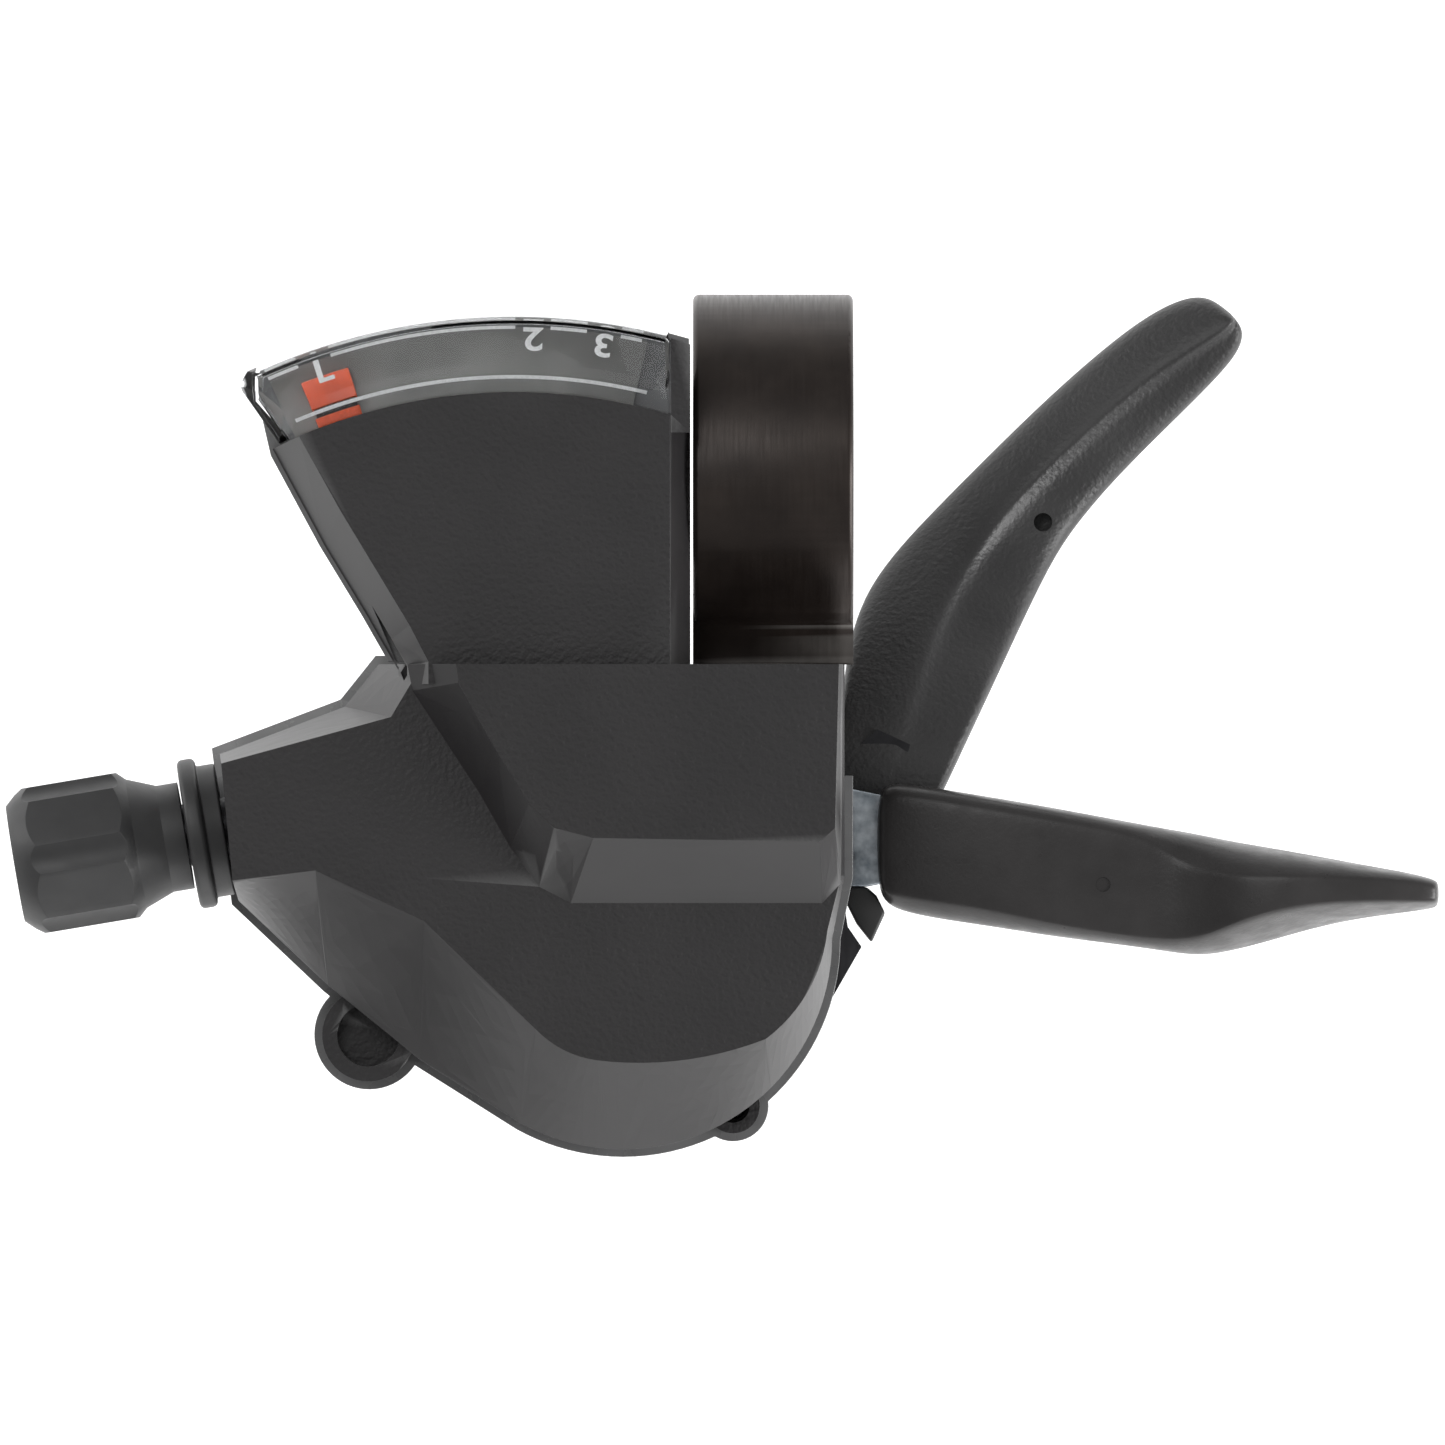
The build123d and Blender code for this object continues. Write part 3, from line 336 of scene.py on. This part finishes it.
def refined(node, width_mm, body, angle=28, segments=3, flat_mm2=None, finish=None):
    """The node's own shape with its hard edges rounded, as a moulding or a tumbled pressing has them."""
    bm = bmesh.new()
    bm.from_mesh(NODES[node].data)
    bmesh.ops.remove_doubles(bm, verts=bm.verts, dist=0.002 * MM)
    bmesh.ops.dissolve_limit(bm, angle_limit=radians(1.0), verts=bm.verts, edges=bm.edges)
    bm.verts.index_update()
    # rebuilt from its corners, so that no stored normals come along
    mesh = bpy.data.meshes.new(node + "_finished")
    mesh.from_pydata([corner.co for corner in bm.verts], [],
                     [[v.index for v in face.verts] for face in bm.faces])
    bm.free()
    piece = bpy.data.objects.new(node + "_finished", mesh)
    bpy.context.scene.collection.objects.link(piece)
    bevel = piece.modifiers.new("edges", "BEVEL")
    bevel.width = width_mm * MM
    bevel.segments = segments
    bevel.limit_method = "ANGLE"
    bevel.angle_limit = radians(angle)
    bevel.use_clamp_overlap = True
    bevel.miter_outer = "MITER_ARC"
    piece.data.polygons.foreach_set("use_smooth", [True] * len(piece.data.polygons))
    apply_modifiers(piece)
    if flat_mm2:
        # faces larger than this are the moulding's flat panels
        for polygon in piece.data.polygons:
            polygon.use_smooth = polygon.area < flat_mm2 * MM * MM
    else:
        smooth_by_angle(piece.data, 40)
    slot = NODE_SLOT[node]
    return finish_piece(piece, body, slot, finish or SLOT_MATERIALS[slot], node)


def lofted(name, rings, levels=2):
    """Closed subdivision surface through rings of equal length, capped at both ends."""
    def build(bm):
        rows = [[bm.verts.new(Vector(point) * MM) for point in ring] for ring in rings]
        for low, high in zip(rows, rows[1:]):
            for index in range(len(low)):
                after = (index + 1) % len(low)
                bm.faces.new((low[index], low[after], high[after], high[index]))
        bm.faces.new(rows[0][::-1])
        bm.faces.new(rows[-1])
    piece = new_piece(name, build)
    modifier = piece.modifiers.new("surface", "SUBSURF")
    modifier.levels = modifier.render_levels = levels
    apply_modifiers(piece)
    smooth_by_angle(piece.data, 60)
    return piece

# ---------------------------------------------------------------- camera, light and floor

VIEW_CENTRE = Vector((-4.04, -20.04, 0)) * MM
VIEW_WIDTH = 115.6 * MM
CAMERA_HEIGHT = 2.5
FLOOR_DROP = 0.03


def make_studio():
    camera_data = bpy.data.cameras.new("camera")
    camera_data.sensor_width = 36
    camera_data.lens = 36 * CAMERA_HEIGHT / VIEW_WIDTH
    camera_data.clip_end = 20
    camera = bpy.data.objects.new("camera", camera_data)
    camera.location = VIEW_CENTRE + Vector((0, 0, CAMERA_HEIGHT))
    bpy.context.scene.collection.objects.link(camera)
    bpy.context.scene.camera = camera

    # soft boxes: place, aim, size and power in watts
    for name, place, size, power in (("key_light", (0.5, -0.12, 0.16), 0.3, 3.2),
                                     ("low_light", (-0.02, -0.55, 0.14), 0.35, 0.8),
                                     ("top_light", (-0.25, 0.3, 0.7), 0.4, 1.6),
                                     ("left_light", (-0.5, 0.2, 0.12), 0.3, 0.9)):
        light_data = bpy.data.lights.new(name, "AREA")
        light_data.size = size
        light_data.energy = power
        light = bpy.data.objects.new(name, light_data)
        light.location = place
        light.rotation_euler = (VIEW_CENTRE - light.location).to_track_quat("-Z", "Y").to_euler()
        bpy.context.scene.collection.objects.link(light)

    world = bpy.data.worlds.new("studio")
    world.use_nodes = True
    world.node_tree.nodes["Background"].inputs["Color"].default_value = (1, 1, 1, 1)
    world.node_tree.nodes["Background"].inputs["Strength"].default_value = 0.42
    bpy.context.scene.world = world
    bpy.context.scene.view_settings.view_transform = "Standard"

    bpy.ops.mesh.primitive_plane_add(size=6, location=(0, 0, cad_low.z - FLOOR_DROP))
    floor = bpy.context.object
    floor.name = "floor"
    pale = bpy.data.materials.new("floor_white")
    pale.use_nodes = True
    surface = pale.node_tree.nodes["Principled BSDF"]
    for name, value in (("Base Color", (0.95, 0.95, 0.95, 1)), ("Roughness", 0.9),
                        ("Emission Color", (1, 1, 1, 1)), ("Emission Strength", 0.5)):
        surface.inputs[name].default_value = value
    floor.data.materials.append(pale)


# ---------------------------------------------------------------- housing and clamp


def polar(radius, angle, z):
    """Point about the pointer's pivot, in millimetres."""
    return Vector((PIVOT.x + radius * cos(radians(angle)), PIVOT.y + radius * sin(radians(angle)), z))


def make_housing():
    refined("top_cover", 0.4, "housing", angle=12, segments=4, flat_mm2=0.45)
    refined("lower_cover", 0.45, "housing", segments=4, finish=rim_painted_highlight)
    refined("display_tray", 0.25, "housing", finish=rim_painted_highlight)
    refined("bottom_cap", 0.35, "housing")
    refined("clamp_band", 0.3, "housing", angle=40)
    refined("base_plate", 0.2, "housing")
    refined("release_trigger_plate", 0.2, "release_trigger")
    refined("release_trigger_tab", 0.25, "release_trigger")
    refined("adjuster_collar", 0.2, "adjuster_collar", angle=40)
    refined("adjuster_knob", 0.45, "adjuster_knob", angle=20)
    for node in ("cover_screws", "base_screws", "bracket_screws", "cap_screws", "clamp_bolt"):
        refined(node, 0.2, "housing", angle=40)


# ---------------------------------------------------------------- display


def make_display():
    refined("display_window", 0.18, "housing", angle=20)
    digit_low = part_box("dial_digits")[0] / MM
    white = SLOT_MATERIALS["digit_print"]

    def arc_line(name, radius, start, stop, width, z):
        def build(bm):
            steps = 48
            rows = []
            for step in range(steps + 1):
                angle = start + (stop - start) * step / steps
                rows.append([bm.verts.new(polar(radius + offset, angle, height) * MM)
                             for offset, height in ((-width / 2, z), (width / 2, z), (width / 2, z + 0.05),
                                                    (-width / 2, z + 0.05))])
            for low, high in zip(rows, rows[1:]):
                for index in range(4):
                    bm.faces.new((low[index], low[(index + 1) % 4], high[(index + 1) % 4], high[index]))
            bm.faces.new(rows[0][::-1])
            bm.faces.new(rows[-1])
        return finish_piece(new_piece(name, build), "housing", "digit_print", white)

    # white arcs for the window's edge highlights, broken where the digits' dark reflections cross them:
    # painted highlight and painted reflection, not print
    for index, (start, stop) in enumerate(((78.0, 80.0), (83.2, 86.6), (89.9, 107.4), (110.6, 113.6))):
        arc_line(f"outer_highlight_line_{index}", 48.75, start, stop, 0.26, digit_low.z)
    arc_line("inner_highlight_line", 45.1, 76.4, 112.8, 0.32, digit_low.z)

    arc_line("digit_1_flag", 47.1, 107.6, 109.0, 0.32, digit_low.z + 0.02)
    # the digits' tops point to the pivot; the first one is a plain stem, so its flag is a short line
    for text, angle in (("1", 108.9), ("2", 88.2), ("3", 81.5)):
        curve = bpy.data.curves.new("digit_" + text, "FONT")
        curve.body = text
        curve.size = 2.5 * MM
        curve.align_x = curve.align_y = "CENTER"
        curve.extrude = 0.05 * MM
        curve.offset = 0.05 * MM
        source = bpy.data.objects.new("digit_source", curve)
        bpy.context.scene.collection.objects.link(source)
        mesh = bpy.data.meshes.new_from_object(source.evaluated_get(bpy.context.evaluated_depsgraph_get()))
        bpy.data.objects.remove(source)
        wide = Matrix.Diagonal((1.35, 1.0, 1.0, 1.0))
        turn = Matrix.Rotation(radians(angle + 90), 4, "Z")
        mesh.transform(Matrix.Translation(polar(47.95, angle, digit_low.z + 0.1) * MM) @ turn @ wide)
        piece = bpy.data.objects.new("digit_" + text, mesh)
        bpy.context.scene.collection.objects.link(piece)
        finish_piece(piece, "housing", "digit_print", white, *(("dial_digits",) if text == "1" else ()))


def sector_plate(name, inner, outer, start, stop, low, high, bevel=0.08):
    """A curved plate about the pointer's pivot, with softened edges."""
    def build(bm):
        steps = 10
        rows = []
        for step in range(steps + 1):
            angle = start + (stop - start) * step / steps
            rows.append([bm.verts.new(polar(radius, angle, z) * MM)
                         for radius, z in ((inner, low), (outer, low), (outer, high), (inner, high))])
        for first, second in zip(rows, rows[1:]):
            for index in range(4):
                after = (index + 1) % 4
                bm.faces.new((first[index], first[after], second[after], second[index]))
        bm.faces.new(rows[0][::-1])
        bm.faces.new(rows[-1])
    piece = new_piece(name, build)
    modifier = piece.modifiers.new("edges", "BEVEL")
    modifier.width = bevel * MM
    modifier.segments = 2
    modifier.limit_method = "ANGLE"
    apply_modifiers(piece)
    smooth_by_angle(piece.data, 40)
    return piece


# radii of the flag's pieces about the pointer's pivot, from its root outwards
FLAG_ROOT_IN, FLAG_IN, FLAG_BAR_IN, FLAG_BAR_OUT, FLAG_OUT = 42.3, 43.4, 44.9, 45.7, 47.5
FLAG_DARK_DROP = 0.15


def make_flag():
    """Two orange patches with dark strips between and behind them, the strips being painted shade.

    The flag is one orange piece. The dark strips are painted shade: they stand in for how the window's two
    faces split it to the eye; the real pointer is not known to have them.
    """
    low, high = (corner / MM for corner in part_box("pointer_flag"))
    orange = SLOT_MATERIALS["pointer_orange"]
    for name, inner, outer, replaced in (("flag_outer", FLAG_BAR_OUT, FLAG_OUT, ("pointer_flag",)),
                                         ("flag_inner", FLAG_IN, FLAG_BAR_IN, ())):
        patch = sector_plate(name, inner, outer, 106.1, 110.9, low.z, high.z)
        finish_piece(patch, "pointer", "pointer_orange", orange, *replaced)
    # the dark strips, painted shade, sit a little below the orange
    dark_top = high.z - FLAG_DARK_DROP
    for name, inner, outer, start, stop in (("flag_bar_shade", FLAG_BAR_IN, FLAG_BAR_OUT, 106.3, 110.7),
                                            ("flag_root_shade", FLAG_ROOT_IN, FLAG_IN, 106.6, 110.4)):
        strip = sector_plate(name, inner, outer, start, stop, low.z, dark_top)
        finish_piece(strip, "pointer", "spool_plastic", nylon_black)


# ---------------------------------------------------------------- thumb lever

# left edge, right edge and, across from left to right, where the ridge runs
LEVER_STATIONS = [
    ((1.6, -28.0), (9.6, -31.6), 0.5), ((3.4, -25.0), (12.6, -28.0), 0.5), ((5.2, -20.8), (15.0, -22.8), 0.5),
    ((5.7, -16.0), (17.3, -18.0), 0.5), ((7.0, -9.2), (20.3, -11.6), 0.5),
    ((13.5, -2.4), (22.9, -6.3), 0.46), ((17.9, 2.0), (25.3, -3.1), 0.47), ((22.1, 6.1), (28.3, 0.3), 0.5),
    ((26.6, 10.1), (33.2, 5.1), 0.53), ((30.3, 12.9), (36.3, 8.2), 0.62), ((33.4, 14.4), (37.9, 10.3), 0.7),
    ((35.6, 14.3), (38.0, 12.0), 0.75)]
# distance along the arm, heights of the ridge and of the underside, and how strongly the section is shaped
LEVER_PROFILE = [(17, -5.95, -10.2, 0.06), (28, -5.95, -11.2, 0.08), (35, -12.2, -17.2, 1.0), (43, -17.3,
                                                                                               -21.8, 1.0),
                 (52, -18.6, -23.2, 1.0), (62, -18.7, -23.6, 1.0), (75, -17.6, -22.2, 1.0)]
# share of the way across and how far below the ridge: pad side, ridge, grained side, bevelled edge
LEVER_SECTION = [(0.0, -3.5), (0.05, -2.3), (0.2, -1.25), (0.36, -0.35), (0.47, 0.0), (0.52, -0.12), (0.58,
                                                                                                      -0.75),
                 (0.72, -0.9), (0.91, -1.0), (1.0, -1.9)]
ARM_ANGLE = 43.0


def profile_at(table, distance):
    for (low, *first), (high, *second) in zip(table, table[1:]):
        if distance <= high:
            share = max(0.0, (distance - low) / (high - low))
            return [a + (b - a) * share for a, b in zip(first, second)]
    return table[-1][1:]


def make_thumb_lever():
    arm = Vector((cos(radians(ARM_ANGLE)), sin(radians(ARM_ANGLE)), 0))
    rings = []
    for left, right, ridge in LEVER_STATIONS:
        left, right = Vector((*left, 0)), Vector((*right, 0))
        middle = (left + right) / 2 - Vector((AXLE.x, AXLE.y, 0))
        top, under, shape = profile_at(LEVER_PROFILE, middle.dot(arm))
        ring = []
        for share, drop in LEVER_SECTION:
            across = share + (ridge - 0.5) * (1 - abs(2 * share - 1))
            place = left.lerp(right, across)
            ring.append((place.x, place.y, top + drop * shape))
        for share, lift in ((1.0, 1.0), (0.93, 0.0), (0.5, -0.2), (0.1, 0.1), (0.0, 0.8)):
            place = left.lerp(right, share)
            ring.append((place.x, place.y, under + lift))
        rings.append(ring)
    lever = lofted("thumb_lever_moulding", rings, 3)
    drill(lever, Vector((21.8, -3.9, -18.0)), 0.75, 2.4)
    finish_piece(lever, "thumb_lever", "lever_plastic", lever_black, "thumb_lever_grip")


def drill(piece, centre, radius, depth):
    """A small blind moulding hole."""
    bm = bmesh.new()
    bmesh.ops.create_cone(bm, segments=24, radius1=radius * MM, radius2=radius * MM, depth=depth * 2 * MM,
                          cap_ends=True)
    bmesh.ops.translate(bm, verts=bm.verts, vec=centre * MM)
    mesh = bpy.data.meshes.new("drill")
    bm.to_mesh(mesh)
    bm.free()
    tool = bpy.data.objects.new("drill", mesh)
    bpy.context.scene.collection.objects.link(tool)
    modifier = piece.modifiers.new("hole", "BOOLEAN")
    modifier.operation = "DIFFERENCE"
    modifier.solver = "EXACT"
    modifier.object = tool
    apply_modifiers(piece)
    bpy.data.objects.remove(tool)
    smooth_by_angle(piece.data, 45)


# ---------------------------------------------------------------- release trigger

# X; then Y of the rear edge, of the top face's rear and front lines and of the front edge;
# then heights of the rear edge, the top face, the front edge and the underside
TRIGGER_STATIONS = [
    (8.3, -25.4, -26.2, -33.0, -33.6, -2.6, -1.5, -3.2, -5.4),
    (9.4, -24.6, -25.6, -34.0, -35.3, -2.0, -1.0, -3.0, -5.6),
    (16.6, -25.8, -26.8, -34.9, -36.3, -1.0, 0.0, -2.2, -5.6),
    (22.0, -26.7, -27.7, -36.2, -37.2, -0.7, 0.3, -1.6, -5.7),
    (27.8, -27.8, -28.7, -37.1, -37.9, -0.7, 0.4, -1.2, -5.9),
    (30.6, -28.3, -29.6, -37.4, -38.3, -0.8, 0.4, -1.2, -6.4),
    (32.4, -28.6, -31.0, -37.5, -38.6, -0.8, 0.7, -1.6, -6.8),
    (34.6, -29.0, -31.9, -37.2, -38.8, -0.2, 1.6, -2.0, -7.3),
    (37.0, -29.5, -32.2, -36.2, -38.4, 0.8, 3.2, -2.6, -7.6),
    (40.0, -30.0, -32.2, -35.2, -37.6, 1.6, 3.9, -2.9, -7.9),
    (43.4, -30.6, -32.2, -34.6, -36.6, 2.0, 3.9, -2.7, -7.8),
    (47.0, -31.3, -32.4, -34.4, -35.8, 2.0, 3.6, -2.2, -7.4),
    (51.0, -32.0, -32.6, -34.4, -35.3, 1.8, 3.1, -1.4, -6.2),
    (52.8, -32.5, -32.9, -34.4, -35.0, 1.4, 2.6, -1.0, -5.2),
    (53.3, -32.8, -33.1, -34.3, -34.8, 1.0, 2.2, -0.9, -4.8)]


def make_trigger():
    rings = []
    for x, rear, top_rear, top_front, front, z_rear, z_top, z_front, z_under in TRIGGER_STATIONS:
        rings.append([(x, rear, z_rear), (x, top_rear + 0.12, z_top - 0.25), (x, top_rear - 0.25, z_top),
                      (x, (top_rear + top_front) / 2, z_top), (x, top_front + 0.25, z_top),
                      (x, top_front - 0.12, z_top - 0.25), (x, front, z_front), (x, front + 0.1,
                                                                                 z_under + 0.6),
                      (x, front + 0.7, z_under), (x, (rear + front) / 2, z_under), (x, rear - 0.7, z_under),
                      (x, rear - 0.1, z_under + 0.6)])
    grip = lofted("release_trigger_casting", rings, 3)
    drill(grip, Vector((26.4, -33.0, 0.38)), 0.6, 0.12)
    finish_piece(grip, "release_trigger", "trigger_black", SLOT_MATERIALS["trigger_black"],
                 "release_trigger_grip")


make_studio()
make_housing()
make_display()
make_flag()
make_thumb_lever()
make_trigger()
